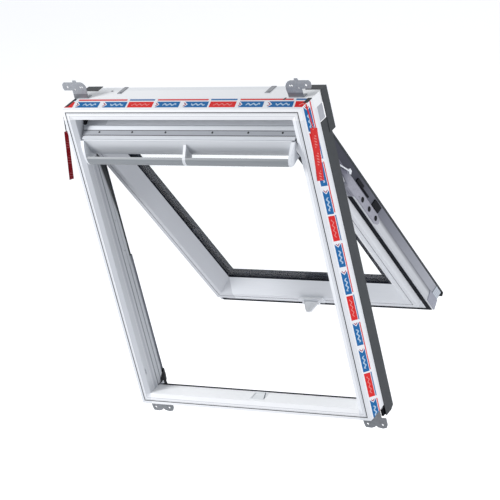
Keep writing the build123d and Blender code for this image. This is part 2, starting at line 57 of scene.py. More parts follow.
bpy.context.scene.view_settings.view_transform = "Standard"
camera_data = bpy.data.cameras.new("camera")
camera = bpy.data.objects.new("camera", camera_data)
bpy.context.scene.collection.objects.link(camera)
bpy.context.scene.camera = camera
camera_data.sensor_fit = "HORIZONTAL"
camera_data.sensor_width = 36.0
camera_data.lens = lens
camera_data.clip_start = 0.1
camera_data.clip_end = 60.0
sight_right = Vector((0.86003565, 0.46191553, -0.21673192))
sight_down = Vector((0.03122215, -0.47161713, -0.88125051))
sight_ahead = Vector((-0.50927778, 0.75114002, -0.42002954))
turn = Matrix((sight_right, -sight_down, -sight_ahead)).transposed().to_4x4()
camera.matrix_world = Matrix.Translation(at(*camera_spot)) @ turn


def joined(tree, node, values):
    """Sets or links a node's sockets by name or number."""
    for key, value in values.items():
        if isinstance(value, Wire):
            tree.links.new(value.socket, node.inputs[key])
        elif isinstance(value, (tuple, Vector)) and len(node.inputs[key].default_value) == 4:
            node.inputs[key].default_value = (*value, 1.0)
        else:
            node.inputs[key].default_value = value


class Wire:
    """One output of a shader node, so that a finish reads as a sum."""

    def __init__(self, tree, socket):
        self.tree = tree
        self.socket = socket

    def worked(self, operation, *values):
        node = self.tree.nodes.new("ShaderNodeMath")
        node.operation = operation
        joined(self.tree, node, dict(enumerate(values)))
        return Wire(self.tree, node.outputs[0])

    def __add__(self, other):
        return self.worked("ADD", self, other)

    def __sub__(self, other):
        return self.worked("SUBTRACT", self, other)

    def __rsub__(self, other):
        return self.worked("SUBTRACT", other, self)

    def __mul__(self, other):
        return self.worked("MULTIPLY", self, other)

    def __truediv__(self, other):
        return self.worked("DIVIDE", self, other)

    def __gt__(self, other):
        return self.worked("GREATER_THAN", self, other)

    def __lt__(self, other):
        return self.worked("LESS_THAN", self, other)

    def __mod__(self, other):
        return self.worked("FLOORED_MODULO", self, other)

    def __abs__(self):
        return self.worked("ABSOLUTE", self)

    def between(self, low, high):
        return (self > low) * (self < high)

    def held(self, low, high):
        return self.worked("MINIMUM", self.worked("MAXIMUM", self, low), high)

    def or_else(self, other):
        return self.worked("MAXIMUM", self, other)

    __radd__ = __add__
    __rmul__ = __mul__


class Finish:
    """A material as it is mixed: colour first, then what varies over the surface."""

    def __init__(self, name, colour=(0.8, 0.8, 0.8), roughness=0.5, metallic=0.0):
        self.material = bpy.data.materials.new(name)
        self.material.use_nodes = True
        self.tree = self.material.node_tree
        self.shader = self.tree.nodes["Principled BSDF"]
        self.shader.inputs["Base Color"].default_value = (*colour, 1.0)
        self.shader.inputs["Roughness"].default_value = roughness
        self.shader.inputs["Metallic"].default_value = metallic

    def node(self, kind, settings, out, **values):
        node = self.tree.nodes.new(kind)
        for name, value in settings.items():
            setattr(node, name, value)
        joined(self.tree, node, {name.replace("_", " "): value for name, value in values.items()})
        return Wire(self.tree, node.outputs[out])

    def place(self, turned=0.0, stretch=(1.0, 1.0, 1.0)):
        spot = self.node("ShaderNodeTexCoord", {}, "Object")
        turning = (turned, 0.0, 0.0)
        return self.node("ShaderNodeMapping", {}, 0, Vector=spot, Rotation=turning, Scale=stretch)

    def axes(self):
        split = self.tree.nodes.new("ShaderNodeSeparateXYZ")
        joined(self.tree, split, {0: self.node("ShaderNodeTexCoord", {}, "Object")})
        return [Wire(self.tree, socket) for socket in split.outputs]

    def noise(self, scale, detail, **where):
        spot = self.place(**where)
        return self.node("ShaderNodeTexNoise", {}, 0, Vector=spot, Scale=scale, Detail=detail)

    def blended(self, share, first, second):
        node = self.tree.nodes.new("ShaderNodeMix")
        node.data_type = "RGBA"
        joined(self.tree, node, {0: share, 6: first, 7: second})
        return Wire(self.tree, node.outputs[2])

    def feed(self, name, wire):
        self.tree.links.new(wire.socket, self.shader.inputs[name])

    def relief(self, height, strength, distance):
        bump = self.node("ShaderNodeBump", {}, 0, Strength=strength, Distance=distance, Height=height)
        self.feed("Normal", bump)

    def on(self, *names):
        for name in names:
            nodes[name].data.materials.clear()
            nodes[name].data.materials.append(self.material)


def whiter(tree, lit, white, output):
    """What the camera, a mirror or the glass sees is white, and the object is lit by the rest."""
    rays = tree.nodes.new("ShaderNodeLightPath")
    seen = Wire(tree, rays.outputs["Is Camera Ray"])
    for kind in ("Is Glossy Ray", "Is Transmission Ray"):
        seen = seen.or_else(Wire(tree, rays.outputs[kind]))
    choice = tree.nodes.new("ShaderNodeMixShader")
    joined(tree, choice, {0: seen})
    tree.links.new(lit, choice.inputs[1])
    tree.links.new(white, choice.inputs[2])
    tree.links.new(choice.outputs[0], output)


world = bpy.data.worlds.new("studio")
bpy.context.scene.world = world
world.use_nodes = True
sky = world.node_tree
soft = sky.nodes["Background"]
soft.inputs["Color"].default_value = (0.90, 0.94, 1.0, 1.0)
soft.inputs["Strength"].default_value = soft_strength
white_sky = sky.nodes.new("ShaderNodeBackground")
white_sky.inputs["Color"].default_value = (1.0, 1.0, 1.0, 1.0)
whiter(sky, soft.outputs[0], white_sky.outputs[0], sky.nodes["World Output"].inputs["Surface"])

floor_mesh = bpy.data.meshes.new("floor")
floor_form = bmesh.new()
for x, y in ((-1, -1), (1, -1), (1, 1), (-1, 1)):
    floor_form.verts.new((x * floor_reach, y * floor_reach, floor_level))
floor_form.faces.new(floor_form.verts)
floor_form.to_mesh(floor_mesh)
floor_form.free()
floor = bpy.data.objects.new("floor", floor_mesh)
bpy.context.scene.collection.objects.link(floor)
pale = Finish("studio_floor", (0.88, 0.88, 0.90), 0.95)
glow = pale.tree.nodes.new("ShaderNodeEmission")
glow.inputs["Strength"].default_value = floor_glow
both = pale.tree.nodes.new("ShaderNodeAddShader")
pale.tree.links.new(pale.shader.outputs[0], both.inputs[0])
pale.tree.links.new(glow.outputs[0], both.inputs[1])
paper = pale.tree.nodes["Material Output"].inputs["Surface"]
whiter(pale.tree, pale.shader.outputs[0], both.outputs[0], paper)
floor_mesh.materials.append(pale.material)


def lamp(name, spot, aim, size, watts):
    data = bpy.data.lights.new(name, "AREA")
    data.shape = "SQUARE"
    data.size = size
    data.energy = watts
    piece = bpy.data.objects.new(name, data)
    bpy.context.scene.collection.objects.link(piece)
    piece.visible_transmission = False
    piece.location = spot
    piece.rotation_euler = (Vector(aim) - Vector(spot)).to_track_quat("-Z", "Y").to_euler()


lamp("key", (-3.0, -2.1, 2.9), (0.0, 0.0, 0.5), 1.5, 158)
lamp("side", (4.4, 0.0, 0.7), (0.3, 0.0, 0.5), 0.8, 64)

# The fixed frame's four members. Planed pine, primed and sprayed white, so its grain only just
# shows along each member. The lining groove is cut after spraying and stays dull inside, and is
# painted darker still as shade. Painted shade lines follow the bevel's edges. The left reveal is
# planed in steps; it is painted grey as shade, with painted highlight and shade along its steps,
# and painted shadow lies on it beside the vent strip's end and the side seal. The head and sill
# take a lighter copy of the lacquer, painted light.
half = 390.0
frame_height = 980.0
face_depth = 5.4
groove = (8.0, 12.0)
shaded_bevel_edges = ((13.2, 14.6), (19.4, 21.0))
left_reveal = (19.8, 36.0)
opening_edge = (32.0, 36.0)
member_width = 33.0
step_highlight = (27.0, 31.0)
step_shade = (36.0, 44.0)
shaded_step_edges = ((30.6, 32.4), (53.2, 55.2), (71.0, 72.6))
strip_end = (884.0, 936.0)
grain_upright = (18.0, 18.0, 0.5)
grain_level = (0.5, 18.0, 18.0)
upright_white = (0.83, 0.845, 0.87)
upright_shade = (0.74, 0.76, 0.80)
# The head and sill take a lighter copy of the jambs' lacquer: painted light.
lit_level_white = (0.95, 0.955, 0.965)
lit_level_shade = (0.87, 0.88, 0.90)
groove_grey = (0.10, 0.105, 0.12)
painted_shadow_black = (0.006, 0.007, 0.010)


def lacquer(name, stretch, turned, white, shade):
    paint = Finish(name, white, 0.36)
    grain = paint.noise(30.0, 5.0, turned=turned, stretch=stretch)
    cloud = paint.noise(5.0, 2.0)
    paint.colour = paint.blended(grain * 0.7 + cloud * 0.3, shade, white)
    paint.feed("Roughness", grain * 0.16 + 0.29)
    paint.relief(grain + paint.noise(700.0, 2.0) * 0.5, 0.10, 0.0006)
    return paint


def frame_place(finish):
    """X, Y and Z on the frame in millimetres."""
    return [axis / MM - start / MM for axis, start in zip(finish.axes(), FROM_FRAME)]


def in_any(place, bands):
    marked = place.between(*bands[0])
    for band in bands[1:]:
        marked = marked.or_else(place.between(*band))
    return marked


for name, stretch, members, white, shade in (
    ("lacquered_upright", grain_upright, ("jamb_left", "jamb_right"), upright_white, upright_shade),
    ("lacquered_level", grain_level, ("head", "sill"), lit_level_white, lit_level_shade),
):
    member_paint = lacquer(name, stretch, 0.0, white, shade)
    x, y, z = frame_place(member_paint)
    from_side = half - abs(x)
    from_end = z.worked("MINIMUM", z, frame_height - z)
    inset = from_side.worked("MINIMUM", from_side, from_end)
    # The groove's inside is dull timber, painted darker still as the shade in the groove.
    in_groove = inset.between(*groove) * y.between(0.4, face_depth)
    lacquer_with_shade = member_paint.blended(in_groove, member_paint.colour, groove_grey)
    # Painted shade: thin grey lines along the bevel's edges.
    bevel_shade_line = in_any(inset, shaded_bevel_edges) * (y < 6.0)
    lacquer_with_shade = member_paint.blended(bevel_shade_line * 0.6, lacquer_with_shade, (0.38, 0.39, 0.43))
    # Painted shade: the left jamb's bevel and reveal are greyed, with a painted highlight on one step
    # band, painted shade on a deeper band and dark painted shade lines at the step edges.
    on_reveal = from_side.between(*left_reveal) * (from_end > member_width) * (x < 0.0)
    lacquer_with_shade = member_paint.blended(on_reveal * 0.5, lacquer_with_shade, (0.50, 0.52, 0.56))
    lacquer_with_shade = member_paint.blended(y.between(*step_highlight) * on_reveal * 0.6, lacquer_with_shade, (0.80, 0.81, 0.84))
    lacquer_with_shade = member_paint.blended(y.between(*step_shade) * on_reveal * 0.35, lacquer_with_shade, (0.30, 0.31, 0.37))
    lacquer_with_shade = member_paint.blended(in_any(y, shaded_step_edges) * on_reveal * 0.8, lacquer_with_shade, (0.22, 0.23, 0.27))
    # Painted shadow: near black on the reveal's far band by the side seal, widening upwards.
    seal_shade_edge = 78.0 - (z - 615.0) * 0.125
    seal_shade = ((y - seal_shade_edge) / 8.0).held(0.0, 1.0) * ((z - 520.0) / 110.0).held(0.0, 1.0)
    at_opening = from_side.between(*opening_edge)
    lacquer_with_shade = member_paint.blended(seal_shade * at_opening * (y > 50.0) * (z < 860.0), lacquer_with_shade, painted_shadow_black)
    # Painted shadow: near black, with a ragged edge, on the left reveal beside the vent strip's end.
    ragged = abs(z % 14.0 - 7.0) * 0.6 + 38.0
    strip_end_shadow = at_opening * z.between(*strip_end) * (y > ragged) * (y < 84.0) * (x < 0.0)
    member_paint.feed("Base Color", member_paint.blended(strip_end_shadow, lacquer_with_shade, painted_shadow_black))
    member_paint.on(*members)

# Fittings of the frame in moulded plastic: the keeper let into the sill, a white tray with its
# dark catch, and the light grey blocks that close the corners behind the hoods.
tray_white = (0.78, 0.80, 0.82)
catch_dark = (0.14, 0.15, 0.18)
tray_top = 32.0
catch_slant = 0.35
catch_across = (39.0, 43.0)
catch_depth = (18.0, 52.0)
tray = Finish("keeper_plastic", tray_white, 0.42)
x, y, z = frame_place(tray)
catch = (x + y * catch_slant).between(*catch_across) * (z > tray_top) * y.between(*catch_depth)
tray.feed("Base Color", tray.blended(catch, tray_white, catch_dark))
tray.relief(tray.noise(900.0, 2.0), 0.06, 0.0002)
tray.on("keeper")
corner = Finish("corner_plastic", (0.42, 0.43, 0.47), 0.5)
mottle = corner.noise(14.0, 3.0)
corner.feed("Base Color", corner.blended(mottle, (0.36, 0.37, 0.41), (0.47, 0.48, 0.52)))
corner.relief(corner.noise(1100.0, 2.0), 0.08, 0.0002)
corner.on("hinge_block_left", "hinge_block_right")

# Covers of the frame and the sash, folded from aluminium sheet and powder coated a matt dark
# grey. The inner face of the sash covers' flare and the lower left side cover's inner side are
# painted pale grey, and the flare's pale face is darkened with painted shade up under the arms.
def powder_coat(name):
    coat = Finish(name, (0.034, 0.038, 0.043), 0.55)
    coat.shader.inputs["Specular IOR Level"].default_value = 0.2
    coat.colour = coat.blended(coat.noise(9.0, 3.0), (0.028, 0.032, 0.036), (0.041, 0.046, 0.052))
    coat.feed("Roughness", coat.noise(60.0, 3.0) * 0.18 + 0.38)
    coat.relief(coat.noise(1500.0, 2.0), 0.14, 0.0003)
    return coat


inner_across = (-390.7, -380.0)
inner_depth = (84.0, 136.8)
inner_top = 437.0
frame_coat = powder_coat("powder_coat")
x, y, z = frame_place(frame_coat)
# The left side cover's inner side, below 437 mm, is painted a pale mottled grey.
inner_side = x.between(*inner_across) * y.between(*inner_depth) * (z < inner_top)
mottle = frame_coat.noise(14.0, 3.0)
pale_inside = frame_coat.blended(mottle, (0.26, 0.275, 0.31), (0.40, 0.415, 0.45))
frame_coat.feed("Base Color", frame_coat.blended(inner_side, frame_coat.colour, pale_inside))
frame_coat.on("side_cover_left", "side_cover_right", "hood_left", "hood_right")

hinge_y = 108.0
hinge_z = 820.0
open_angle = math.radians(30.0)
open_cos = math.cos(open_angle)
open_sin = math.sin(open_angle)


def sash_place(finish):
    """X, and Y and Z as they are with the sash closed, in millimetres."""
    x, y, z = frame_place(finish)
    out = y - hinge_y
    up = z - hinge_z
    closed_y = out * open_cos + up * open_sin + hinge_y
    closed_z = up * open_cos - out * open_sin + hinge_z
    return x, closed_y, closed_z


flare_root = 123.0
flare_tip = 147.4
flare_start = 375.2
flare_lean = 8.3 / 24.5
flare_skin = (-0.6, 0.7)
sash_coat = powder_coat("powder_coat_flared")
x, y, z = sash_place(sash_coat)
from_sheet = (abs(x) - flare_start) - (y - flare_root) * flare_lean
flare_inner_face = (abs(x) > 374.9) * from_sheet.between(*flare_skin) * (y < flare_tip)
# Painted shade: the flare's pale face is dark up under the arms and lightens towards the foot.
below_arm = ((620.0 - z) / 160.0).held(0.0, 1.0)
pale_side = sash_coat.blended(below_arm, (0.040, 0.042, 0.060), (0.150, 0.155, 0.190))
towards_foot = ((460.0 - z) / 400.0).held(0.0, 1.0)
pale_side = sash_coat.blended(towards_foot, pale_side, (0.38, 0.39, 0.43))
sash_coat.feed("Base Color", sash_coat.blended(flare_inner_face, sash_coat.colour, pale_side))
sash_coat.on("sash_cover_left", "sash_cover_right")
frame_coat.on("sash_cover_bottom", "sash_cover_top")

# Bare rolled aluminium: the head rail with its clips, the vent strip along the top of the sash
# and the ledge that the control bar turns on. It shows faint lines along the way it was drawn. The
# vent strip's lower face is painted darker as shade, with near black painted shade in its joint and
# below its lower edge, and the ledge is painted near black under its lip as shade.
def drawn_aluminium(name, low, high, turned=0.0):
    drawn = Finish(name, high, 0.4, 0.15)
    lines = drawn.noise(40.0, 4.0, turned=turned, stretch=(0.3, 30.0, 30.0))
    drawn.colour = drawn.blended(lines, low, high)
    drawn.feed("Base Color", drawn.colour)
    drawn.feed("Roughness", lines * 0.25 + 0.30)
    drawn.relief(lines, 0.08, 0.0003)
    return drawn


drawn_aluminium("rail_aluminium", (0.78, 0.80, 0.83), (0.88, 0.90, 0.92)).on("head_rail")
drawn_aluminium("clip_aluminium", (0.22, 0.23, 0.25), (0.36, 0.37, 0.40)).on("head_clips")
strip_joint = (76.0, 78.2)
strip_roll = 77.5
strip_edge = 63.4
strip = drawn_aluminium("strip_aluminium", (0.32, 0.34, 0.37), (0.42, 0.44, 0.47), -open_angle)
x, y, z = sash_place(strip)
# Painted shade: the strip's face below the roll is darker, and its joint and lower edge are near black.
shaded_lower_face = strip.blended((y < strip_roll) * 0.5, strip.colour, (0.20, 0.21, 0.24))
shaded_joint_lines = y.between(*strip_joint).or_else(y < strip_edge)
strip.feed("Base Color", strip.blended(shaded_joint_lines, shaded_lower_face, (0.06, 0.063, 0.075)))
strip.on("vent_strip")
ledge_lip = 926.6
ledge = drawn_aluminium("ledge_aluminium", (0.60, 0.62, 0.66), (0.74, 0.76, 0.80), -open_angle)
x, y, z = sash_place(ledge)
# Painted shade: near black under the ledge's lip.
shade_under_lip = z < ledge_lip
ledge.feed("Base Color", ledge.blended(shade_under_lip, ledge.colour, (0.05, 0.053, 0.062)))
ledge.on("bar_ledge")

# Seals and plugs of black rubber and plastic: the frame's and sill's weather seals, greyer at the
# left foot, the sash seal, the glazing seal, the dark spacer in the glass, the plugs, tips and
# buffers. The seals are extruded and pressed into grooves, and the rest is moulded.
rubber = Finish("seal_rubber", (0.010, 0.011, 0.016), 0.7)
rubber.shader.inputs["Specular IOR Level"].default_value = 0.1
x, y, z = frame_place(rubber)
# The seals are painted grey low on the left, below 520 mm.
grey_left_foot = (x < -340.0) * (y < 90.0) * (z < 520.0)
rubber_tone = rubber.blended(rubber.noise(25.0, 3.0), (0.007, 0.008, 0.012), (0.014, 0.016, 0.022))
rubber.feed("Base Color", rubber.blended(grey_left_foot, rubber_tone, (0.24, 0.25, 0.28)))
rubber.relief(rubber.noise(500.0, 3.0), 0.15, 0.0003)
rubber.on("frame_seal_left", "frame_seal_right", "sill_seal", "sash_seal")
glazing = Finish("glazing_band", (0.038, 0.044, 0.062), 0.8)
glazing.shader.inputs["Specular IOR Level"].default_value = 0.1
band_tone = glazing.blended(glazing.noise(12.0, 2.0), (0.022, 0.026, 0.040), (0.031, 0.036, 0.053))
glazing.feed("Base Color", band_tone)
glazing.on("glazing_seal", "glass_spacer")
moulded = Finish("black_moulding", (0.008, 0.009, 0.012), 0.5)
moulded.shader.inputs["Specular IOR Level"].default_value = 0.06
moulded.feed("Roughness", moulded.noise(80.0, 3.0) * 0.25 + 0.3)
moulded.relief(moulded.noise(1200.0, 2.0), 0.15, 0.0003)
moulded.on("cover_plug_left", "cover_plug_right", "cover_tips", "arm_buffers")

# The tongue of each plug, seen against the foot of the reveal: a thin black spur that keeps leaves
# out of the channel, clipped over the jamb's edge.
spur_faces = (353.7, 354.7)
spur_outline = (
    (50.5, 34.2), (62.0, 34.2), (82.6, 34.2), (82.6, 57.0), (81.5, 56.5), (80.0, 55.0),
    (76.0, 51.0), (72.0, 47.5), (68.4, 43.0), (70.0, 38.5), (64.0, 36.5),
)
for name, side in (("plug_spur_left", -1), ("plug_spur_right", 1)):
    spur_form = bmesh.new()
    rows = []
    for x in spur_faces:
        rows.append([spur_form.verts.new(at(side * x, y, z)) for y, z in spur_outline])
    spur_form.faces.new(rows[0])
    spur_form.faces.new(reversed(rows[1]))
    for n in range(len(spur_outline)):
        corners = (rows[0][n], rows[1][n], rows[1][n - 1], rows[0][n - 1])
        spur_form.faces.new(corners)
    bmesh.ops.recalc_face_normals(spur_form, faces=spur_form.faces)
    spur_mesh = bpy.data.meshes.new(name)
    spur_form.to_mesh(spur_mesh)
    spur_form.free()
    spur = bpy.data.objects.new(name, spur_mesh)
    bpy.context.scene.collection.objects.link(spur)
    spur_mesh.materials.append(moulded.material)
    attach(spur, "frame")

# Collar film, a white woven tape welded round the outer faces, printed in red and blue blocks that
# repeat two blue to one red, with a dark red chevron ahead of each blue one and a pale wave on all.
# A thin line in the other colour runs along the roof edge, and the folds at the top are black.
print_step_top = 270.0
print_step_side = 251.5
print_start_top = -358.0
print_start_side = 807.0
slant_top = 0.35
slant_side = 0.42
middle_top = 32.0
middle_side = 34.5
reach_top = 19.0
reach_side = 17.5
first_blue_end = 0.290
second_blue = (0.345, 0.635)
red_share = (0.655, 0.965)
notch_share = 0.045
chevrons = ((-0.030, -0.014), (0.315, 0.331))
roof_line_top = (58.0, 68.0)
roof_line_side = (54.5, 60.5)
blue = (0.0, 0.125, 0.360)
red = (0.700, 0.012, 0.012)
film_white = (0.90, 0.905, 0.93)
tape = Finish("collar_print", film_white, 0.5)
tape.shader.inputs["Specular IOR Level"].default_value = 0.15
x, y, z = frame_place(tape)
on_top = abs(x) < half
along_top = ((x + (y - middle_top) * slant_top - print_start_top) / print_step_top) % 1.0
along_side = ((print_start_side - z - (y - 33.0) * slant_side) / print_step_side) % 1.0
along = along_top * on_top + along_side * (1.0 - on_top)
middle = middle_top * on_top + middle_side * (1.0 - on_top)
reach = reach_top * on_top + reach_side * (1.0 - on_top)
across = abs(y - middle) / reach
in_band = across < 1.0
notch = (1.0 - across) * notch_share
blue_block = (along > notch) * (along < first_blue_end)
second_block = (along > notch + second_blue[0]) * (along < second_blue[1])
blue_block = blue_block.or_else(second_block) * in_band
red_block = along.between(*red_share) * in_band
chevron = in_any(along - notch, chevrons) * (across < 0.62)
phase = along * 100.0
from_wave = abs((y - middle) / reach + phase.worked("SINE", phase) * 0.24)
blue_wave = (from_wave < 0.24) * (along % second_blue[0]).between(0.085, 0.250) * (1.0 - red_block)
red_wave = (from_wave < 0.16) * red_block * along.between(0.70, 0.92)
roof_line = (y.between(*roof_line_top) * on_top).or_else(y.between(*roof_line_side) * (1.0 - on_top))
folds = (x > 378.0) * y.between(40.0, 72.0) * (z > 979.0)
folds = folds.or_else(x.between(306.0, 312.0) * y.between(58.0, 74.0) * (z > 979.0))
folds = folds.or_else((x < -380.0) * (y > 18.0) * (z > 976.0))
weave = tape.noise(260.0, 2.0)
inked = tape.blended(weave, (0.84, 0.85, 0.885), film_white)
for share, ink in (
    (blue_block, blue),
    (red_block, red),
    (blue_wave * 0.7, (0.62, 0.76, 0.88)),
    (red_wave * 0.35, (0.90, 0.62, 0.60)),
    (chevron, (0.300, 0.010, 0.070)),
    (roof_line * along.between(0.65, 0.965) * 0.95, blue),
    (roof_line * along.between(0.0, 0.62) * 0.95, red),
    (folds, (0.020, 0.022, 0.026)),
):
    inked = tape.blended(share, inked, ink)
tape.feed("Base Color", inked)
tape.feed("Roughness", weave * 0.2 + 0.45)
tape.relief(weave + tape.noise(22.0, 2.0) * 3.0, 0.18, 0.0005)
tape.on("collar")

# Pull tabs of the collar: red webbing with a paler woven pattern, the right one lying on the tape
# and the left one, darker in the shade, hanging from its black cord.
def webbing(name, deep, light):
    strap = Finish(name, light, 0.7)
    strap.shader.inputs["Specular IOR Level"].default_value = 0.1
    strap.colour = strap.blended(strap.noise(120.0, 3.0), deep, light)
    strap.relief(strap.noise(600.0, 2.0), 0.35, 0.0005)
    return strap


dash_step = 9.0
dash_group = 50.0
dash_reach = 6.5
right_strap = webbing("pull_strap", (0.60, 0.018, 0.020), (0.78, 0.055, 0.050))
x, y, z = frame_place(right_strap)
dashes = (((z + y * 0.7) / dash_step) % 1.0 < 0.45) * (((z / dash_group) % 1.0) < 0.66)
dashes = dashes * (abs(y - 33.0 - (z - 826.0) * 0.155) < dash_reach)
right_strap.feed("Base Color", right_strap.blended(dashes * 0.5, right_strap.colour, (0.85, 0.42, 0.40)))
right_strap.on("pull_tab_right")
# Painted shade: the left tab is a darker copy of the same webbing.
left_strap = webbing("pull_strap_left", (0.12, 0.001, 0.005), (0.28, 0.006, 0.012))
x, y, z = frame_place(left_strap)
dashes = (((z + x * 0.5) / dash_step) % 1.0 < 0.4) * (((z / dash_group) % 1.0) < 0.6)
marked_strap = left_strap.blended(dashes * 0.35, left_strap.colour, (0.45, 0.16, 0.17))
cord_start = 907.0
on_cord = z > cord_start
left_strap.feed("Base Color", left_strap.blended(on_cord, marked_strap, (0.020, 0.021, 0.024)))
left_strap.on("pull_tab_left")

# Zinc-plated pressed steel: the four fixing brackets, with a band of painted shade on the upper
# necks, and the hinge bearings. The plating shows a fine spangle. The lower brackets take a darker
# copy of the plating, painted shade.
def zinc_plate(name, dark=(0.25, 0.265, 0.29), light=(0.36, 0.38, 0.41), metal=0.3):
    plated = Finish(name, light, 0.38, metal)
    spangle = plated.node("ShaderNodeTexVoronoi", {}, 0, Vector=plated.place(), Scale=160.0)
    plated.colour = plated.blended(spangle * 0.6 + plated.noise(20.0, 3.0) * 0.5, dark, light)
    plated.feed("Base Color", plated.colour)
    plated.feed("Roughness", plated.noise(90.0, 3.0) * 0.3 + 0.25)
    plated.relief(plated.noise(400.0, 3.0), 0.06, 0.0003)
    return plated


neck_height = (982.5, 995.0)
neck_depth = 78.0
plate = zinc_plate("bracket_zinc")
x, y, z = frame_place(plate)
# Painted shade: a darker band low on each upper bracket's neck.
neck_shade = z.between(*neck_height) * (y < neck_depth)
plate.feed("Base Color", plate.blended(neck_shade, plate.colour, (0.17, 0.18, 0.20)))
plate.on("bracket_top_left", "bracket_top_right")
# Painted shade: the lower brackets are a darker copy of the same plating.
shaded_low_plate = zinc_plate("bracket_zinc_low", (0.14, 0.15, 0.16), (0.22, 0.235, 0.25))
shaded_low_plate.on("bracket_bottom_left", "bracket_bottom_right")
bearing = zinc_plate("bearing_zinc", (0.20, 0.21, 0.25), (0.36, 0.38, 0.43))
bearing.on("hinge_bearing_left", "hinge_bearing_right")

# Sash timber, sprayed as the frame is, with its grain along each piece as the sash stands open.
# A fine quirk runs round the room face, 12 mm in, and is dull at its bottom and painted darker
# still as shade. The left stile is painted grey as shade, the flange sides greyer, and painted
# shadow darkens them under the flare.
sash_half = 353.0
sash_bottom = 25.0
flange_side = 374.5
quirk = (11.6, 14.4)
quirk_depth = (62.3, 63.8)
sash_white = (0.80, 0.815, 0.84)
sash_shade = (0.71, 0.73, 0.77)
for name, stretch, members in (
    ("sash_lacquer_upright", grain_upright, ("sash_stile_left", "sash_stile_right")),
    ("sash_lacquer_level", grain_level, ("sash_rail_bottom", "sash_rail_top", "sash_foot")),
):
    sash_paint = lacquer(name, stretch, -open_angle, sash_white, sash_shade)
    x, y, z = sash_place(sash_paint)
    from_side = sash_half - abs(x)
    inset = from_side.worked("MINIMUM", from_side, z - sash_bottom)
    # The quirk's bottom is dull, painted darker still as the shade in it.
    in_quirk = inset.between(*quirk) * y.between(*quirk_depth)
    # Painted shade: grey on the left stile, greyer on the flange sides, and near black under the flare.
    shaded = sash_paint.blended((x < -285.0) * 0.5, sash_paint.colour, (0.42, 0.435, 0.47))
    on_flange = abs(x) > flange_side
    shaded = sash_paint.blended(on_flange * 0.7, shaded, (0.46, 0.47, 0.50))
    under_flare = ((y - 108.0) / 13.0).held(0.0, 1.0) * on_flange
    shaded = sash_paint.blended(under_flare * 0.9, shaded, (0.10, 0.105, 0.13))
    sash_paint.feed("Base Color", sash_paint.blended(in_quirk, shaded, (0.16, 0.165, 0.19)))
    sash_paint.on(*members)

# Hinge arms and stay rods. The arms are pressed steel plates screwed to the stiles, zinc-plated,
# mottled and darkened violet-grey with painted shade up by the pin, and a bright round rod rides
# on each.
arm = zinc_plate("arm_zinc", (0.24, 0.24, 0.29), (0.42, 0.42, 0.48), 0.3)
x, y, z = sash_place(arm)
by_the_pin = ((z - 640.0) / 60.0).held(0.0, 1.0)
# Painted shade: dark violet-grey up by the pin, over a random mottle.
pin_shade_and_mottle = (arm.noise(28.0, 4.0) * 0.35 + by_the_pin * 0.8).held(0.0, 1.0)
arm.feed("Base Color", arm.blended(pin_shade_and_mottle, arm.colour, (0.085, 0.085, 0.125)))
arm.on("hinge_arm_left", "hinge_arm_right")
stay = zinc_plate("stay_zinc", (0.60, 0.62, 0.66), (0.80, 0.82, 0.86), 0.5)
stay.on("stay_rod_left", "stay_rod_right")

# Sealed double glazing: two panes of clear float glass with the dark spacer between their edges,
# bedded on the glazing seal and held down by the sash covers.
clear = Finish("clear_glass", (0.985, 0.995, 0.99), 0.0)
clear.shader.inputs["Transmission Weight"].default_value = 1.0
clear.shader.inputs["IOR"].default_value = 1.12
clear.on("glass_inner", "glass_outer")

# Handle and foot caps. The handle's base and the lever that hangs in it are moulded in light grey
# plastic. The caps that close the ends of the sash's foot are darker, with bright ribbed tips.
handle_plastic = Finish("handle_plastic", (0.76, 0.78, 0.81), 0.36)
cloud = handle_plastic.noise(30.0, 2.0)
handle_tone = handle_plastic.blended(cloud, (0.72, 0.74, 0.77), (0.80, 0.82, 0.85))
handle_plastic.feed("Base Color", handle_tone)
handle_plastic.relief(handle_plastic.noise(1000.0, 2.0), 0.08, 0.0002)
handle_plastic.on("handle_base", "handle_lever")
foot_plastic = Finish("foot_plastic", (0.50, 0.54, 0.62), 0.4)
x, y, z = sash_place(foot_plastic)
cloud = foot_plastic.noise(40.0, 2.0)
foot_tone = foot_plastic.blended(cloud, (0.26, 0.27, 0.33), (0.34, 0.35, 0.41))
foot_tone = foot_plastic.blended(y > 122.4, foot_tone, (0.52, 0.56, 0.62))
rib_step = 9.0
ribs = ((z / rib_step) % 1.0 < 0.3) * (y > 122.0)
foot_plastic.feed("Base Color", foot_plastic.blended(ribs * 0.5, foot_tone, (0.25, 0.27, 0.32)))
foot_plastic.relief(foot_plastic.noise(1000.0, 2.0), 0.08, 0.0002)
foot_plastic.on("foot_caps")

# Control bar. A sheet of aluminium rolled to a scoop and a curved grip strip with its middle rib,
# both brushed along the bar, lacquered a satin grey and held between moulded pale ends. The scoop
# is painted light at its top and darker down its face, as shade.
brushing = (0.3, 25.0, 25.0)
scoop_top = 930.0
scoop_drop = 55.0
rib_span = (-9.0, 1.0)
satin = Finish("bar_lacquer", (0.58, 0.60, 0.63), 0.36)
brushed = satin.noise(40.0, 4.0, turned=-open_angle, stretch=brushing)
satin.feed("Roughness", brushed * 0.15 + 0.24)
satin.relief(brushed, 0.05, 0.0002)
x, y, z = sash_place(satin)
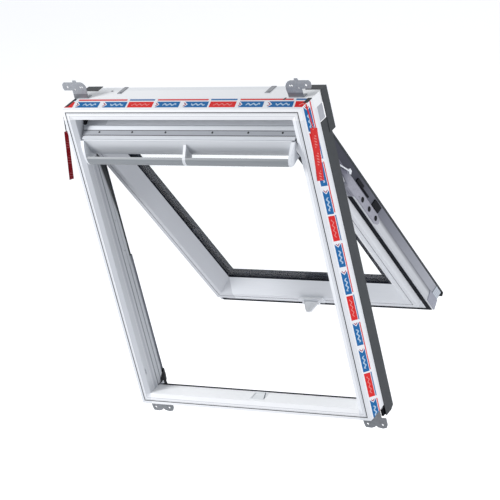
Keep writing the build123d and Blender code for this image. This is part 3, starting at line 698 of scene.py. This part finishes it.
# Painted shade: the scoop is lighter at its top and darker towards its bottom.
down = ((scoop_top - z) / scoop_drop).held(0.0, 1.0)
scoop_shade = satin.blended(down, (0.70, 0.72, 0.75), (0.40, 0.42, 0.45))
satin.feed("Base Color", satin.blended(brushed * 0.4, scoop_shade, (0.60, 0.62, 0.65)))
satin.on("bar_sheet")
grip_coat = Finish("grip_lacquer", (0.30, 0.32, 0.34), 0.34)
rubbed = grip_coat.noise(40.0, 4.0, turned=-open_angle, stretch=brushing)
x, y, z = sash_place(grip_coat)
grip_tone = grip_coat.blended(rubbed, (0.19, 0.205, 0.22), (0.27, 0.29, 0.31))
on_rib = x.between(*rib_span)
grip_coat.feed("Base Color", grip_coat.blended(on_rib, grip_tone, (0.66, 0.68, 0.71)))
grip_coat.feed("Roughness", rubbed * 0.15 + 0.28)
grip_coat.relief(rubbed, 0.05, 0.0002)
grip_coat.on("bar_grip")
bar_end = Finish("bar_end_plastic", (0.68, 0.70, 0.73), 0.4)
cloud = bar_end.noise(25.0, 2.0)
bar_end.feed("Base Color", bar_end.blended(cloud, (0.70, 0.725, 0.76), (0.79, 0.81, 0.845)))
bar_end.relief(bar_end.noise(1000.0, 2.0), 0.06, 0.0002)
bar_end.on("bar_cap_left", "bar_cap_right")

# Screws. Pressed steel heads with a cross recess, black on the arms, dark on the vent strip and
# zinc-plated on the brackets. A node tree makes a head at each place, facing its own way.
def sash_spot(x, y, z):
    out = y - hinge_y
    up = z - hinge_z
    open_y = out * open_cos - up * open_sin + hinge_y
    open_z = out * open_sin + up * open_cos + hinge_z
    return at(x, open_y, open_z)


def sash_way(x, y, z):
    return sash_spot(x, y, z) - sash_spot(0, 0, 0)


screw_tree = bpy.data.node_groups.new("screw_heads", "GeometryNodeTree")
screw_tree.interface.new_socket("Geometry", in_out="INPUT", socket_type="NodeSocketGeometry")
for size in ("Radius", "Height", "Slot"):
    screw_tree.interface.new_socket(size, in_out="INPUT", socket_type="NodeSocketFloat")
for finish in ("Metal", "Recess"):
    screw_tree.interface.new_socket(finish, in_out="INPUT", socket_type="NodeSocketMaterial")
screw_tree.interface.new_socket("Geometry", in_out="OUTPUT", socket_type="NodeSocketGeometry")


def geo(kind, settings=(), **values):
    """A geometry node with its settings, and its sockets set or linked by name or number."""
    node = screw_tree.nodes.new(kind)
    for name, value in dict(settings).items():
        setattr(node, name, value)
    for name, value in values.items():
        key = int(name[1:]) if name[1:].isdigit() else name.replace("_", " ")
        if isinstance(value, bpy.types.NodeSocket):
            screw_tree.links.new(value, node.inputs[key])
        else:
            node.inputs[key].default_value = value
    return node


def share_of(size, share):
    return geo("ShaderNodeMath", {"operation": "MULTIPLY"}, i0=size, i1=share).outputs[0]


def size_of(**sides):
    return geo("ShaderNodeCombineXYZ", **sides).outputs[0]


def moved(mesh, offset):
    transform = geo("GeometryNodeTransform", Geometry=mesh, Translation=offset)
    return transform.outputs[0]


def together(*parts):
    join = screw_tree.nodes.new("GeometryNodeJoinGeometry")
    for part in parts:
        screw_tree.links.new(part, join.inputs[0])
    return join.outputs[0]


into = screw_tree.nodes.new("NodeGroupInput").outputs
brim_height = share_of(into["Height"], 0.45)
crown_height = share_of(into["Height"], 0.55)
crown_radius = share_of(into["Radius"], 0.62)
slot_width = share_of(into["Slot"], 0.26)
slot_depth = share_of(into["Height"], 0.12)
brim = geo(
    "GeometryNodeMeshCone", Vertices=20, Radius_Top=into["Radius"],
    Radius_Bottom=into["Radius"], Depth=brim_height,
)
crown = geo(
    "GeometryNodeMeshCone", Vertices=20, Radius_Top=crown_radius,
    Radius_Bottom=into["Radius"], Depth=crown_height,
)
slots = []
for long_side, short_side in ((into["Slot"], slot_width), (slot_width, into["Slot"])):
    slot_size = size_of(X=long_side, Y=short_side, Z=slot_depth)
    slot = geo("GeometryNodeMeshCube", Size=slot_size)
    slots.append(moved(slot.outputs["Mesh"], size_of(Z=into["Height"])))
marked = geo(
    "GeometryNodeStoreNamedAttribute", {"data_type": "BOOLEAN", "domain": "FACE"},
    Geometry=together(*slots), Name="recess", Value=True,
)
raised_crown = moved(crown.outputs["Mesh"], size_of(Z=brim_height))
head = together(brim.outputs["Mesh"], raised_crown, marked.outputs[0])
aim = geo("GeometryNodeInputNamedAttribute", {"data_type": "FLOAT_VECTOR"}, Name="aim")
facing = geo("FunctionNodeAlignRotationToVector", {"axis": "Z"}, Vector=aim.outputs[0])
placed = geo(
    "GeometryNodeInstanceOnPoints", Points=into["Geometry"], Instance=head,
    Rotation=facing.outputs[0],
)
real = geo("GeometryNodeRealizeInstances", Geometry=placed.outputs[0])
steel = geo("GeometryNodeSetMaterial", Geometry=real.outputs[0], Material=into["Metal"])
is_recess = geo("GeometryNodeInputNamedAttribute", {"data_type": "BOOLEAN"}, Name="recess")
dark = geo(
    "GeometryNodeSetMaterial", Geometry=steel.outputs[0], Selection=is_recess.outputs[0],
    Material=into["Recess"],
)
out = screw_tree.nodes.new("NodeGroupOutput")
screw_tree.links.new(dark.outputs[0], out.inputs[0])


def screws(name, body, spots, radius, height, metal):
    """Heads at the given places, each with the way that it faces."""
    mesh = bpy.data.meshes.new(name)
    mesh.from_pydata([spot for spot, way in spots], [], [])
    facing = mesh.attributes.new("aim", "FLOAT_VECTOR", "POINT")
    for n, (spot, way) in enumerate(spots):
        facing.data[n].vector = way
    piece = bpy.data.objects.new(name, mesh)
    bpy.context.scene.collection.objects.link(piece)
    maker = piece.modifiers.new("heads", "NODES")
    maker.node_group = screw_tree
    values = {
        "Radius": radius * MM, "Height": height * MM, "Slot": radius * 1.1 * MM,
        "Metal": metal.material, "Recess": moulded.material,
    }
    for item in screw_tree.interface.items_tree:
        if item.name in values:
            maker[item.identifier] = values[item.name]
    graph = bpy.context.evaluated_depsgraph_get()
    made = bpy.data.meshes.new_from_object(
        piece.evaluated_get(graph), preserve_all_data_layers=True, depsgraph=graph,
    )
    piece.modifiers.clear()
    piece.data = made
    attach(piece, body)
    return piece


dark_steel = zinc_plate("screw_dark", (0.008, 0.009, 0.012), (0.025, 0.027, 0.033), 0.2)
bright_steel = zinc_plate("screw_bright", (0.45, 0.47, 0.51), (0.66, 0.68, 0.72), 0.7)
strip_half = 350.0
strip_screw_y = 71.5
strip_screw_z = 934.0
strip_faces = sash_way(0, -0.34, 0.94)
vent_spots = [
    (sash_spot(share * strip_half, strip_screw_y, strip_screw_z), strip_faces)
    for share in (-0.84, -0.52, -0.20, 0.24, 0.57, 0.88)
]
arm_face = 378.0
arm_screw_y = hinge_y - 3
arm_screw_drops = (267.0, 316.0, 365.0)
arm_spots = [
    (sash_spot(side * arm_face, arm_screw_y, hinge_z - drop), sash_way(side, 0, 0))
    for side in (-1, 1) for drop in arm_screw_drops
]
vent_screws = screws("vent_screw_heads", "sash", vent_spots, 3.2, 1.8, dark_steel)
arm_screws = screws("arm_screw_heads", "sash", arm_spots, 8.0, 2.6, moulded)
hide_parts("sash_screws")
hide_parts("sash_screws")

film = 0.6
bracket_sheet = 2.5
neck = 46.0
foot_top = frame_height + bracket_sheet
foot_under = -film - bracket_sheet
foot_holes = (11.0, 35.0)
top_hole_y = 92.0
bottom_hole_y = 71.0
top_feet = (44.5 - half - neck, half - 72.5)
bottom_feet = (3 - half, half - 45)
bracket_spots = []
for feet, y, z, way in (
    (top_feet, top_hole_y, foot_top, 1),
    (bottom_feet, bottom_hole_y, foot_under, -1),
):
    for start in feet:
        for hole in foot_holes:
            bracket_spots.append((at(start + hole, y, z), Vector((0, 0, way))))
bracket_screws = screws("bracket_screw_heads", "frame", bracket_spots, 4.0, 2.0, bright_steel)
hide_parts("bracket_screws")
